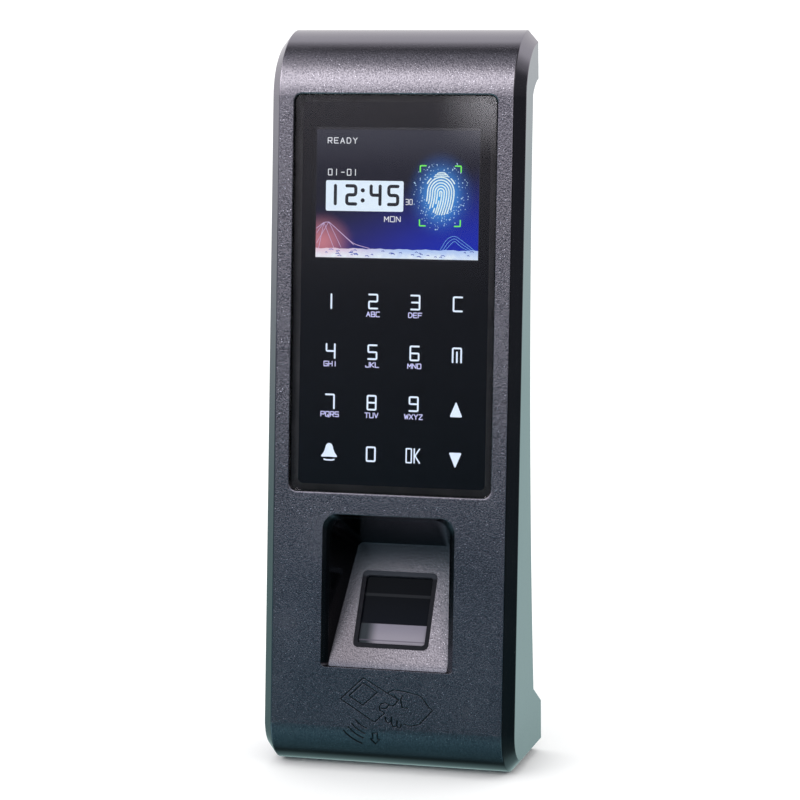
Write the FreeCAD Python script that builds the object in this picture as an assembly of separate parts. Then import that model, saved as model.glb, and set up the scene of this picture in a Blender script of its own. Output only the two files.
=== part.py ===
import FreeCAD, Part
import math
import os

# Fingerprint scanner terminal for a wall, in millimetres.
# Wall frame: X right, Y into the wall (the wall is Y = 0), Z up. The origin is the middle of the
# wall plate's four screw holes.
# Face frame: x right, y = depth behind the tilted front face, z = height along that face, with
# the origin in the middle of the cover glass.
# Ramp frame: the same sense of axes, laid on the finger ramp at the middle of the sensor.

V = FreeCAD.Vector
X_AXIS = V(1, 0, 0)
Y_AXIS = V(0, 1, 0)
Z_AXIS = V(0, 0, 1)
GAP = 0.1                     # running gap between pieces that are put together
FAR = 60.0                    # a reach that passes every piece

# Small screws that hold the boards and the sensor
SHANK_R, PILOT_R, CLEAR_R, HEAD_R = 1.0, 1.05, 1.2, 1.9

# Casing
FACE_TILT = 5.75              # degrees the front leans out at its foot
FACE_ORIGIN = V(0, -24.8, 25)
FLAT_HALF = 34.8              # half width of the flat front between its chamfers
CASE_HALF = 37.75
CHAMFER_DEPTH = 3.4
CHAMFER_INSET = 0.45          # how much the flat narrows for each unit of inset
WALL = 2.2
TOP_ROLL = 20.0
TOP_ROLL_V = 57.0             # height of the top roll's centre on the face
FOOT_ROLL = 12.0
FOOT_ROLL_V = -125.6
REAR_EDGE_Y = -1.0            # the casing stops this far off the wall
EDGE_ROUND = 0.35

# Cover glass, display and keypad
GLASS_W, GLASS_H, GLASS_T = 60.0, 114.5, 2.0
GLASS_SUNK = 0.4
GLASS_CORNER = 2.2
GLASS_GAP = 0.15
RIM_ROUND = 0.5               # the rounded edge of the casing around the glass
TAPE_T = 0.15
LEDGE = 2.0                   # width of the ledge that the glass is taped to
LEDGE_BACK = 4.2
LCD_V = 29.05                 # height of the display's middle
LCD_FACE = 4.3
RIBBON_T = 0.2
KEY_X = (-18.7, -6.1, 6.5, 19.1)
KEY_V = (-2.2, -16.8, -31.4, -46.1)

# Finger recess
RECESS_HALF, RECESS_TOP, RECESS_FOOT = 19.85, -63.7, -108.3
RECESS_CORNER = 4.5           # upper corners at the mouth
INNER_CORNER = 1.2            # lower corners, and the upper ones where the ramp meets the roof
BEVEL_RUN, BEVEL_DEPTH = 1.85, 1.6   # the mouth's side bevels
SIDE_DRAFT = 0.255            # inward run of the side walls for each unit of depth past them
ROOF_DRAFT = 0.556            # downward run of the roof for each unit of depth
RAMP_ANGLE = 25.5
RAMP_FOOT_DEPTH = 1.2         # the ramp starts this far behind the front
RAMP_SKIN = 2.0
RECESS_BACK = 17.7            # depth where the ramp meets the roof
WELL_FRONT = WALL + 0.05      # the well's rim lies behind the casing's wall
WELL_GAP = 0.06
SENSOR_V = -92.0
SEAL_W, SEAL_H, SEAL_CORNER = 22.7, 23.6, 1.6
PRISM_W, PRISM_H, PRISM_SUNK = 20.1, 20.8, 1.0
HOUSING_BACK = 12.4           # depth of the sensor housing behind the ramp
SENSOR_SCREWS = [(x, s) for x in (-16.5, 16.5) for s in (-10.0, 10.0)]

# Engraved sign at the foot: a card in a hand, radio waves and an arrow, as lines of (x, v)
GROOVE_W, GROOVE_DEPTH = 0.36, 0.28
CARD_CORNER = (-13.6, -117.5)
CARD_LONG, CARD_SHORT = (10.4, -6.1), (6.9, 6.5)
HAND = ((0.9, -114.8), (2.4, -114.0), (5.3, -114.2), (9.9, -115.1), (10.9, -115.7), (13.0, -118.4),
        (14.2, -119.2), (12.4, -121.3), (10.3, -123.6), (7.6, -124.3), (5.7, -123.8))
THUMB = ((2.9, -118.2), (2.2, -118.7), (1.2, -118.4), (0.0, -117.9), (-1.2, -118.2),
         (-1.8, -119.2), (-1.6, -120.2), (-0.6, -120.7))
THUMB_NAIL = ((-1.2, -119.5), (0.2, -119.6), (1.2, -118.4))
PALM_LINES = (((5.1, -115.5), (4.6, -116.8), (5.1, -119.0), (6.8, -119.1)),
              ((2.7, -115.7), (4.0, -116.8), (2.9, -118.2)))
FINGERS = ((1.0, -122.3, 0.95, 1.3), (2.8, -123.3, 0.85, 1.5), (4.2, -124.1, 0.7, 0.9))
WAVE_CENTRE, WAVE_RADII = (-2.6, -117.8), (8.4, 10.0, 11.5, 13.3)
WAVE_FROM, WAVE_TO = 222.0, 250.0
ARROW = ((-3.7, -126.9), (-2.3, -126.9), (-2.3, -128.7), (-1.6, -128.7), (-3.0, -130.2),
         (-4.4, -128.7), (-3.7, -128.7), (-3.7, -126.9))

# Boards
BOARD_FRONT, BOARD_BACK = 8.6, 10.2
BOARD_HALF_W, BOARD_HALF_H = 31.0, 60.5
BOARD_SCREW_X, BOARD_SCREW_V = 27.5, 57.6

# Rear cover and wall plate
PANEL_BACK, PANEL_FRONT = -3.2, -5.2
COVER_HALF = 33.0
COVER_WALL = 2.0
COVER_TOP, COVER_FOOT = 96.2, -110.7
COVER_WALL_STEPS = ((-98.7, 80.0, -14.9), (80.0, 87.4, -13.0))   # foot, top and front of each
FLANGE_T = 1.8
GASKET_T = 1.0
RIB_T = 2.0
FLANGE_PATH = ((-15.6, -95.0), (-15.6, 30.0), (-12.0, 80.0))   # depth and height of its middle
CASE_SCREW_X, CASE_SCREW_TOP, CASE_SCREW_FOOT = 27.0, 89.0, -99.0
CASE_BOSS_REAR = -7.3
PLATE_T = 1.5
PLATE_HALF, PLATE_TOP, PLATE_FOOT = 29.0, 76.0, -88.0
WALL_SCREW_DX, WALL_SCREW_DZ, WALL_SCREW_R = 40.0, 120.0, 2.3
PLATE_WINDOW = (-20.0, 20.0, -44.0, -10.0)
COVER_WINDOW = (-21.0, 21.0, -40.0, -15.0)
HOOK_X = (-18.0, 18.0)
HOOK_Z = 50.0
HOOK_W = 10.0
TONGUE_Z = -109.9             # underside of the plate's folded tongue
LOCK_SCREW_Y, LOCK_SCREW_TOP, LOCK_HEAD_T = -8.0, -105.0, 1.9
UNDERSIDE = FACE_ORIGIN.z + FOOT_ROLL_V * math.cos(math.radians(FACE_TILT)) \
    - FOOT_ROLL * math.sin(math.radians(FACE_TILT)) - FOOT_ROLL

# Pieces in the foot
SPEAKER_X, SPEAKER_Y, SPEAKER_R = -18.0, -16.2, 9.0
SERVICE_BOARD_Z, SERVICE_BOARD_T = -104.5, 1.2
SERVICE_POSTS = ((8.5, -28.5), (20.0, -10.0))
PORT_X, PORT_Y = 10.0, -19.0
RESET_X, RESET_Y = 18.0, -19.0

# Tamper switch
TAMPER_X, TAMPER_Z = 8.0, 20.0

tilt = math.radians(FACE_TILT)
ramp = math.radians(RAMP_ANGLE)


# Frames and simple solids

def to_wall(shape):
    moved = shape.copy()
    moved.rotate(V(0, 0, 0), X_AXIS, -FACE_TILT)
    moved.translate(FACE_ORIGIN)
    return moved


def ramp_to_wall(shape):
    moved = shape.copy()
    moved.rotate(V(0, 0, 0), X_AXIS, -RAMP_ANGLE)
    moved.translate(V(0, ramp_depth(SENSOR_V), SENSOR_V))
    return to_wall(moved)


def ramp_depth(v):
    return RAMP_FOOT_DEPTH + (v - RECESS_FOOT) * math.tan(ramp)


def block(x0, x1, y0, y1, z0, z1):
    return Part.makeBox(x1 - x0, y1 - y0, z1 - z0, V(x0, y0, z0))


def rounded_wire(half, z0, z1, corner, y, foot_corner=None):
    """A rounded rectangle across the depth axis, symmetric about x = 0."""
    cos45 = math.cos(math.radians(45))
    head_corner = corner
    corners = [(half, z0, 1, -1), (half, z1, 1, 1), (-half, z1, -1, 1), (-half, z0, -1, -1)]
    edges = []
    last = None
    first = None
    for index, (x, z, sx, sz) in enumerate(corners):
        corner = head_corner if sz > 0 else foot_corner or head_corner
        cx, cz = x - sx * corner, z - sz * corner
        along_x = V(cx, y, z)
        along_z = V(x, y, cz)
        start, end = (along_x, along_z) if index % 2 == 0 else (along_z, along_x)
        middle = V(cx + sx * corner * cos45, y, cz + sz * corner * cos45)
        if last is not None:
            edges.append(Part.LineSegment(last, start).toShape())
        else:
            first = start
        edges.append(Part.Arc(start, middle, end).toShape())
        last = end
    edges.append(Part.LineSegment(last, first).toShape())
    return Part.Wire(edges)


def plate(width, height, y0, y1, corner, x=0.0, z=0.0):
    """A flat plate with rounded corners, thick along the depth axis."""
    wire = rounded_wire(width / 2, -height / 2, height / 2, corner, y0)
    solid = Part.Face(wire).extrude(V(0, y1 - y0, 0))
    solid.translate(V(x, 0, z))
    return solid


def pin(radius, y0, y1, x, z):
    return Part.makeCylinder(radius, y1 - y0, V(x, y0, z), Y_AXIS)


def post(radius, z0, z1, x, y):
    return Part.makeCylinder(radius, z1 - z0, V(x, y, z0), Z_AXIS)


def fuse(shapes):
    whole = shapes[0]
    for shape in shapes[1:]:
        whole = whole.fuse(shape)
    return whole.removeSplitter()


def strip(points, thickness, x0, x1):
    """A thin flat cable: a polyline in depth and height, thickened and as wide as x0 to x1."""
    pieces = []
    for (y0, z0), (y1, z1) in zip(points, points[1:]):
        length = math.hypot(y1 - y0, z1 - z0)
        ny = (z1 - z0) / length * thickness / 2
        nz = -(y1 - y0) / length * thickness / 2
        ring = [V(x0, y0 + ny, z0 + nz), V(x0, y1 + ny, z1 + nz),
                V(x0, y1 - ny, z1 - nz), V(x0, y0 - ny, z0 - nz), V(x0, y0 + ny, z0 + nz)]
        pieces.append(Part.Face(Part.makePolygon(ring)).extrude(V(x1 - x0, 0, 0)))
        pieces.append(Part.makeCylinder(thickness / 2, x1 - x0, V(x0, y1, z1), X_AXIS))
    return fuse(pieces[:-1])


# Casing

def casing_wire(inset, x):
    """The casing's side outline, moved in by inset. It runs on behind the wall plane."""
    sin_t, cos_t = math.sin(tilt), math.cos(tilt)
    run_back = 30.0

    def on_roll(radius, centre_v, angle):
        reach = radius - inset
        return V(x, radius + reach * math.cos(angle), centre_v + reach * math.sin(angle))

    level_top = math.pi / 2 + tilt
    level_foot = -math.pi / 2 + tilt
    front_top = on_roll(TOP_ROLL, TOP_ROLL_V, math.pi)
    top = on_roll(TOP_ROLL, TOP_ROLL_V, level_top)
    front_foot = on_roll(FOOT_ROLL, FOOT_ROLL_V, math.pi)
    foot = on_roll(FOOT_ROLL, FOOT_ROLL_V, level_foot)
    back = V(0, run_back * cos_t, run_back * sin_t)
    top_mid = on_roll(TOP_ROLL, TOP_ROLL_V, (math.pi + level_top) / 2)
    foot_mid = on_roll(FOOT_ROLL, FOOT_ROLL_V, -(math.pi - level_foot) / 2)
    top_back = top + back
    foot_back = foot + back * 2
    edges = [Part.LineSegment(front_foot, front_top).toShape(),
             Part.Arc(front_top, top_mid, top).toShape(),
             Part.LineSegment(top, top_back).toShape(),
             Part.LineSegment(top_back, foot_back).toShape(),
             Part.LineSegment(foot_back, foot).toShape(),
             Part.Arc(foot, foot_mid, front_foot).toShape()]
    return Part.Wire(edges)


def casing_solid(inset):
    """The casing's full block with chamfered front edges, shrunk by inset on every side."""
    flat = FLAT_HALF - inset * CHAMFER_INSET
    outer = CASE_HALF - inset
    middle = Part.Face(casing_wire(inset, -flat)).extrude(V(2 * flat, 0, 0))
    sides = [Part.makeLoft([casing_wire(inset, side * flat),
                            casing_wire(inset + CHAMFER_DEPTH, side * outer)], True, True)
             for side in (-1, 1)]
    return fuse([middle] + sides)


def rounded_casing():
    """The outer block with its chamfer's edges slightly rounded, as a moulding has them."""
    body = casing_solid(0)
    behind = 24.0

    def on_chamfer(edge):
        points = edge.discretize(5)
        level = any(all(abs(abs(p.x) - x) < 1e-3 for p in points) for x in (FLAT_HALF, CASE_HALF))
        return level and all(p.y < behind for p in points)

    return body.makeFillet(EDGE_ROUND, [edge for edge in body.Edges if on_chamfer(edge)])


def behind_casing():
    """The space behind the casing's rear edge."""
    return block(-FAR, FAR, REAR_EDGE_Y, FAR, -3 * FAR, 3 * FAR)


def grip_relief():
    """The bowed cut-back in both side walls, which leaves room for fingers beside the wall."""
    top_rear, top_step = V(-FAR, 0, 85.9), V(-FAR, -7.6, 81.6)
    top_middle = V(-FAR, -5.6, 83.6)
    bow = V(-FAR, -13.0, -15)
    foot_step, foot_rear = V(-FAR, -10.4, -92.5), V(-FAR, REAR_EDGE_Y, -98.3)
    behind = V(0, 5, 0)
    outline = [foot_step, foot_rear, V(-FAR, 0, foot_rear.z) + behind, top_rear + behind, top_rear]
    edges = [Part.Arc(top_rear, top_middle, top_step).toShape(),
             Part.Arc(top_step, bow, foot_step).toShape()]
    edges += Part.makePolygon(outline).Edges
    return Part.Face(Part.Wire(edges)).extrude(V(2 * FAR, 0, 0))


def glass_rim():
    """What is cut away to round the casing's edge around the glass."""
    steps = 4

    def ring(angle):
        grow = RIM_ROUND * (1 - math.sin(angle))
        depth = GLASS_SUNK * (1 - math.cos(angle))
        half_w, half_h = GLASS_W / 2 + GLASS_GAP + grow, GLASS_H / 2 + GLASS_GAP + grow
        return rounded_wire(half_w, -half_h, half_h, GLASS_CORNER + GLASS_GAP + grow, depth)

    return Part.makeLoft([ring(math.pi / 2 * k / steps) for k in range(steps + 1)], True, True)


def drafted_block(grow, front, back):
    """The recess's narrowing block between two depths, with no ramp. grow moves its sides out."""
    below_foot = 0.1

    def ring(depth):
        bevelled = min(depth, BEVEL_DEPTH) / BEVEL_DEPTH * BEVEL_RUN
        half = RECESS_HALF - bevelled - SIDE_DRAFT * max(0.0, depth - BEVEL_DEPTH) + grow
        top = RECESS_TOP - ROOF_DRAFT * depth + grow
        inward = min(1.0, max(0.0, depth - BEVEL_DEPTH) / (RECESS_BACK - BEVEL_DEPTH))
        head = RECESS_CORNER + (INNER_CORNER - RECESS_CORNER) * inward
        return rounded_wire(half, RECESS_FOOT - below_foot - grow, top, head + max(grow, 0.0),
                            depth, INNER_CORNER + max(grow, 0.0))

    return Part.makeLoft([ring(front), ring(BEVEL_DEPTH), ring(back)], True, True)


def recess_solid(grow):
    """The finger recess as a solid. With grow it is the outside of the recess's own wall."""
    mouth, beyond = -3.0, 30.0
    body = drafted_block(grow, mouth, RECESS_BACK + 3 + grow)
    skin = grow / math.cos(ramp)
    low = RECESS_FOOT - beyond
    high = RECESS_FOOT + RECESS_BACK / math.tan(ramp) + beyond
    below = [V(-FAR, ramp_depth(low) + skin, low), V(-FAR, ramp_depth(high) + skin, high),
             V(-FAR, FAR, high), V(-FAR, FAR, low), V(-FAR, ramp_depth(low) + skin, low)]
    body = body.cut(Part.Face(Part.makePolygon(below)).extrude(V(2 * FAR, 0, 0)))
    return body.common(block(-FAR, FAR, mouth, RECESS_BACK + grow, low, high))


def finger_well():
    """The insert with the recess's side walls, roof and ramp. Its foot fills the casing's mouth."""
    post_r, post_rise, hole_front, hole_back = 2.4, 1.25, 1.3, 5.0
    low, high = RECESS_FOOT - FAR, RECESS_TOP + FAR
    block_out = recess_solid(RAMP_SKIN)
    rim = block_out.common(block(-FAR, FAR, WELL_FRONT, FAR, low, high))
    toe = block_out.common(drafted_block(-WELL_GAP, -1.0, WELL_FRONT + 0.5))
    well = to_wall(rim.fuse(toe).cut(recess_solid(0)))
    for x, s in SENSOR_SCREWS:
        well = well.fuse(ramp_to_wall(pin(post_r, RAMP_SKIN - GAP, RAMP_SKIN + post_rise, x, s)))
    for x, s in SENSOR_SCREWS:
        well = well.cut(ramp_to_wall(pin(PILOT_R, hole_front, hole_back, x, s)))
    well = well.cut(ramp_to_wall(plate(SEAL_W, SEAL_H, -1.0, 6.0, SEAL_CORNER)))
    return well.removeSplitter()


def groove(points):
    """A line of the sign as a standing ribbon with round joints, wide as the groove."""
    pieces = []
    front, back, radius = -2.0, 5.0, GROOVE_W / 2
    for (x0, z0), (x1, z1) in zip(points, points[1:]):
        length = math.hypot(x1 - x0, z1 - z0)
        bar = block(0, length, front, back, -radius, radius)
        bar.rotate(V(0, 0, 0), Y_AXIS, -math.degrees(math.atan2(z1 - z0, x1 - x0)))
        bar.translate(V(x0, 0, z0))
        pieces += [bar, pin(radius, front, back, x0, z0), pin(radius, front, back, x1, z1)]
    return pieces


def arc_points(x, z, rx, rz, start, end, count):
    angles = [math.radians(start + (end - start) * k / (count - 1)) for k in range(count)]
    return [(x + rx * math.cos(a), z + rz * math.sin(a)) for a in angles]


def sign_grooves():
    """The engraved card sign, cut to a shallow depth that follows the casing's surface."""
    (cx, cz), (lx, lz), (sx, sz) = CARD_CORNER, CARD_LONG, CARD_SHORT
    far = (cx + lx, cz + lz)
    top = (cx + sx, cz + sz)
    lines = [[(-0.1, -120.9), (far[0] + 0.3, far[1] + 0.1), (far[0] - 0.4, far[1] + 0.1),
              CARD_CORNER, top, (2.3, -116.0), (4.0, -116.8)]]
    near, half_way, low, high = 0.09, 0.5, 0.24, 0.86
    inset = [(cx + lx * a + sx * b, cz + lz * a + sz * b)
             for a, b in ((near, low), (near, high), (half_way, high), (half_way, low), (near, low))]
    lines += [inset, HAND, THUMB, THUMB_NAIL, ARROW, *PALM_LINES]
    for x, z, half, drop in FINGERS:
        lines.append(arc_points(x, z, half, drop, 165, 375, 7))
    for radius in WAVE_RADII:
        lines.append(arc_points(*WAVE_CENTRE, radius, radius, WAVE_FROM, WAVE_TO, 6))
    ribbons = [piece for line in lines for piece in groove(line)]
    whole = ribbons[0].multiFuse(ribbons[1:])
    skin = casing_solid(0).cut(casing_solid(GROOVE_DEPTH))
    return whole.common(skin.common(block(-20, 20, -3, 6, -134, -109)))


def boss(radius, hole, y0, y1, hole_y0, x, z):
    return pin(radius, y0, y1, x, z), pin(hole, hole_y0, y1 + 1, x, z)


def front_shell():
    outer = to_wall(rounded_casing())
    inner = to_wall(casing_solid(WALL))
    adds = [to_wall(plate(GLASS_W + 6, GLASS_H + 5.5, 1.0, LEDGE_BACK, 4.0))]
    cuts = [to_wall(plate(GLASS_W + 2 * GLASS_GAP, GLASS_H + 2 * GLASS_GAP, -1.0,
                          GLASS_SUNK + GLASS_T + TAPE_T, GLASS_CORNER + GLASS_GAP)),
            to_wall(glass_rim()),
            to_wall(plate(GLASS_W - 2 * LEDGE, GLASS_H - 2 * LEDGE, 0, LEDGE_BACK + 1, 1.5)),
            to_wall(drafted_block(0, -3.0, 4.0)),
            to_wall(sign_grooves())]
    for x in (-BOARD_SCREW_X, BOARD_SCREW_X):
        for v in (-BOARD_SCREW_V, BOARD_SCREW_V):
            solid, hole = boss(2.3, PILOT_R, LEDGE_BACK - 0.2, BOARD_FRONT, LEDGE_BACK, x, v)
            adds.append(to_wall(solid))
            cuts.append(to_wall(hole))
    for x in (-CASE_SCREW_X, CASE_SCREW_X):
        for z, reach in ((CASE_SCREW_TOP, -20.0), (CASE_SCREW_FOOT, -38.0)):
            solid, hole = boss(3.4, 1.5, reach, CASE_BOSS_REAR, -14.0, x, z)
            adds.append(solid)
            cuts.append(hole)
    rib_shift = FLANGE_T / 2 + GASKET_T + RIB_T / 2 + GAP
    adds += beside_flange(33.6, 37.0, RIB_T, rib_shift)
    foot_adds, foot_cuts = foot_details()
    adds += foot_adds
    cuts += foot_cuts
    hollow = outer.cut(inner)
    inside = fuse([part.common(outer) for part in adds])
    shell = hollow.fuse(inside)
    for cut in cuts + [behind_casing(), grip_relief()]:
        shell = shell.cut(cut)
    return shell.removeSplitter()


def beside_flange(x0, x1, thickness, forward):
    """A strip on each side that follows the rear cover's flange, moved forward of its middle."""
    path = [(y - forward, z) for y, z in FLANGE_PATH]
    return [strip(path, thickness, x0, x1), strip(path, thickness, -x1, -x0)]


def foot_details():
    """Pads, posts and holes in the casing's underside."""
    floor = UNDERSIDE + WALL
    below, above = UNDERSIDE - 1, floor + 1
    adds = [post(5.0, UNDERSIDE + 0.5, TONGUE_Z - 0.2, 0, LOCK_SCREW_Y)]
    cuts = [post(3.2, below, UNDERSIDE + LOCK_HEAD_T, 0, LOCK_SCREW_Y),
            post(1.7, below, LOCK_SCREW_TOP, 0, LOCK_SCREW_Y),
            post(1.1, below, above, RESET_X, RESET_Y),
            block(PORT_X - 4.1, PORT_X + 4.1, PORT_Y - 1.9, PORT_Y + 1.9, below, above)]
    for x, y in SERVICE_POSTS:
        adds.append(post(2.2, UNDERSIDE + 0.5, SERVICE_BOARD_Z, x, y))
        cuts.append(post(PILOT_R, floor + 1.5, SERVICE_BOARD_Z + 1, x, y))
    hole_r, circle_r, around = 0.9, 4.2, 6
    cuts.append(post(hole_r, below, above, SPEAKER_X, SPEAKER_Y))
    for k in range(around):
        angle = 2 * math.pi * k / around
        cuts.append(post(hole_r, below, above, SPEAKER_X + circle_r * math.cos(angle),
                         SPEAKER_Y + circle_r * math.sin(angle)))
    return adds, cuts


# Cover glass, display and keypad

def glass_parts():
    back = GLASS_SUNK + GLASS_T
    glass = plate(GLASS_W, GLASS_H, GLASS_SUNK, back, GLASS_CORNER)
    ring = [e for e in glass.Edges if all(abs(v.Point.y - GLASS_SUNK) < 1e-6 for v in e.Vertexes)]
    glass = glass.makeChamfer(0.2, ring)
    tape = plate(GLASS_W, GLASS_H, back, back + TAPE_T, GLASS_CORNER)
    tape = tape.cut(plate(GLASS_W - 2 * LEDGE, GLASS_H - 2 * LEDGE, 0, 6, 1.5))
    return {"cover_glass": glass, "glass_tape": tape}


def display_parts():
    cell = plate(55.0, 40.6, LCD_FACE, LCD_FACE + 1.3, 0.3, 0, LCD_V)
    light = plate(56.0, 41.0, LCD_FACE + 1.3, LCD_FACE + 2.7, 0.3, 0, LCD_V)
    tray = plate(59.6, 42.8, LCD_FACE + 0.3, LCD_FACE + 3.1, 0.8, 0, LCD_V)
    tray = tray.cut(plate(56.2, 41.2, 0, LCD_FACE + 2.7, 0.3, 0, LCD_V))
    foot = LCD_V - 21.4
    ribbon = strip([(6.4, foot - GAP), (6.4, foot - 2.2), (7.9, foot - 4.6), (7.9, foot - 6.0)],
                   RIBBON_T, -9, 9)
    return {"lcd_cell": cell, "lcd_backlight": light, "lcd_tray": tray, "lcd_ribbon": ribbon}


def keypad_parts():
    guide_front, guide_back = 2.5, 4.7
    middle = (KEY_V[0] + KEY_V[-1]) / 2
    height = 56.0
    guide = plate(54.0, height, guide_front, guide_back, 1.5, 0, middle)
    board = plate(54.0, height, guide_back, guide_back + 1.0, 1.5, 0, middle)
    leds = []
    for x in KEY_X:
        for v in KEY_V:
            guide = guide.cut(block(x - 1.2, x + 1.2, guide_back - 0.7, 6, v - 0.9, v + 0.9))
            leds.append(block(x - 1.0, x + 1.0, guide_back - 0.6, guide_back, v - 0.7, v + 0.7))
    return {"keypad_light_guide": guide, "keypad_board": board,
            "keypad_leds": Part.makeCompound(leds)}


# Main board

def board_parts():
    board = plate(2 * BOARD_HALF_W, 2 * BOARD_HALF_H, BOARD_FRONT, BOARD_BACK, 2.0)
    screws = []
    for x in (-BOARD_SCREW_X, BOARD_SCREW_X):
        for v in (-BOARD_SCREW_V, BOARD_SCREW_V):
            board = board.cut(pin(CLEAR_R, 0, FAR, x, v))
            head = pin(2.0, BOARD_BACK, BOARD_BACK + 1.3, x, v)
            screws.append(head.fuse(pin(SHANK_R, LEDGE_BACK + 0.6, BOARD_BACK, x, v)))
    b = BOARD_BACK
    chip = plate(14, 14, b, b + 1.2, 0.4, -12, 26)
    memory = Part.makeCompound([plate(8, 12, b, b + 1.0, 0.3, 6, v) for v in (34, 19)])
    shield = plate(20, 17, b, b + 2.6, 0.6, 16, 1)
    shield = shield.cut(plate(19.4, 16.4, b - 1, b + 2.3, 0.4, 16, 1))
    holder = plate(15, 14.5, b, b + 2.6, 1.0, 19, 45).cut(pin(6.35, b + 0.5, b + 3, 19, 45))
    cell = pin(6.25, b + 0.5, b + 2.5, 19, 45)
    buzzer = pin(6.0, b, b + 5.4, -20, 4).cut(pin(1.0, b + 3, b + 6, -20, 4))
    caps = Part.makeCompound([pin(3.1, b, b + 7.5, -24.5, v) for v in (-12, -20, -46)])
    jack = block(-20, -4, b, b + 10.8, -38, -22).cut(block(-18, -6, b + 2, b + 9, -39, -26))
    terminal = block(1.5, 28.5, b, b + 8.4, -38, -28.5)
    ways, first, pitch = 7, 3.7, 3.6
    for k in range(ways):
        x = first + pitch * k
        terminal = terminal.cut(block(x - 1.3, x + 1.3, b + 1.6, b + 4.6, -39, -32))
        terminal = terminal.cut(pin(1.1, b + 6.8, b + 9, x, -33))
    sockets = Part.makeCompound([
        block(-10.5, 10.5, BOARD_FRONT - 1.3, BOARD_FRONT, -2.2, 1.6),
        block(-6, 6, BOARD_FRONT - 1.3, BOARD_FRONT, -52, -48.5),
        block(-7, 7, b, b + 1.3, -59.5, -56)])
    return {"main_board": board, "board_screws": Part.makeCompound(screws),
            "processor_chip": chip, "memory_chips": memory, "radio_shield": shield,
            "battery_holder": holder, "clock_battery": cell, "buzzer": buzzer,
            "capacitors": caps, "network_jack": jack, "terminal_block": terminal,
            "ribbon_sockets": sockets}


# Fingerprint sensor, in the ramp frame

def sensor_parts():
    seal = fuse([plate(SEAL_W - 0.04, SEAL_H - 0.04, 0.05, 3.2, SEAL_CORNER),
                 plate(26.5, 27.5, RAMP_SKIN + 0.05, 3.2, 2.0)])
    seal = seal.cut(plate(PRISM_W + 0.04, PRISM_H + 0.04, -1, 5, 0.8))
    prism = plate(PRISM_W, PRISM_H, PRISM_SUNK, 9.0, 0.8)
    wedge = Part.makePolygon([V(-15, 4.5, 12), V(-15, 12, 12), V(-15, 12, -12),
                              V(-15, 9.0, -6), V(-15, 4.5, 12)])
    prism = prism.cut(Part.Face(wedge).extrude(V(30, 0, 0)))
    housing = fuse([plate(27, 29, 3.3, HOUSING_BACK, 1.5), plate(38, 26, 3.3, 5.3, 3.0)])
    housing = housing.cut(plate(PRISM_W + 0.3, PRISM_H + 0.3, 0, 5, 0.8))
    housing = housing.cut(plate(23, 25, 4.6, HOUSING_BACK - 1.4, 1.0))
    housing = housing.cut(pin(3.2, 10, 20, 0, 0))
    light = block(-10, 10, 6.2, 8.8, -12.3, -10.7)
    board = plate(25, 26, HOUSING_BACK, HOUSING_BACK + 1.0, 1.0)
    camera = fuse([pin(3.1, HOUSING_BACK - 2.2, HOUSING_BACK, 0, 0),
                   pin(2.1, HOUSING_BACK - 3.4, HOUSING_BACK - 2.2, 0, 0)])
    screws = []
    for x, s in SENSOR_SCREWS:
        housing = housing.cut(pin(CLEAR_R, 0, 8, x, s))
        screws.append(pin(HEAD_R, 5.3, 6.5, x, s).fuse(pin(SHANK_R, 1.6, 5.3, x, s)))
    return {"sensor_seal": seal, "sensor_prism": prism, "sensor_housing": housing,
            "sensor_light": light, "sensor_board": board, "sensor_camera": camera,
            "sensor_screws": Part.makeCompound(screws)}


def sensor_ribbon():
    """From the sensor board, over the well and up to its socket on the main board."""
    return strip([(25.93, -87.89), (27.4, -84.9), (22.6, -72.0), (11.6, -62.0), (11.0, -59.7)],
                 RIBBON_T, -6, 6)


# Card reader in the foot of the front

def card_parts():
    width, height, middle = 44.0, 12.5, -118.0
    board = plate(width, height, WALL + 0.05, WALL + 1.25, 1.5, 0, middle)
    loops = []
    for k in range(3):
        w, h = width - 2 - 2 * k, height - 1.9 - 2 * k
        outer = plate(w, h, WALL + 1.25, WALL + 1.35, 1.2, 0, middle)
        loops.append(outer.cut(plate(w - 1, h - 1, 0, 9, 0.8, 0, middle)))
    chip = plate(4.0, 2.8, WALL + 1.25, WALL + 2.1, 0.3, 10, middle)
    return {"card_board": board, "card_antenna": Part.makeCompound(loops), "card_chip": chip}


# Foot: speaker, service port and reset switch, in the wall frame

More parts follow.
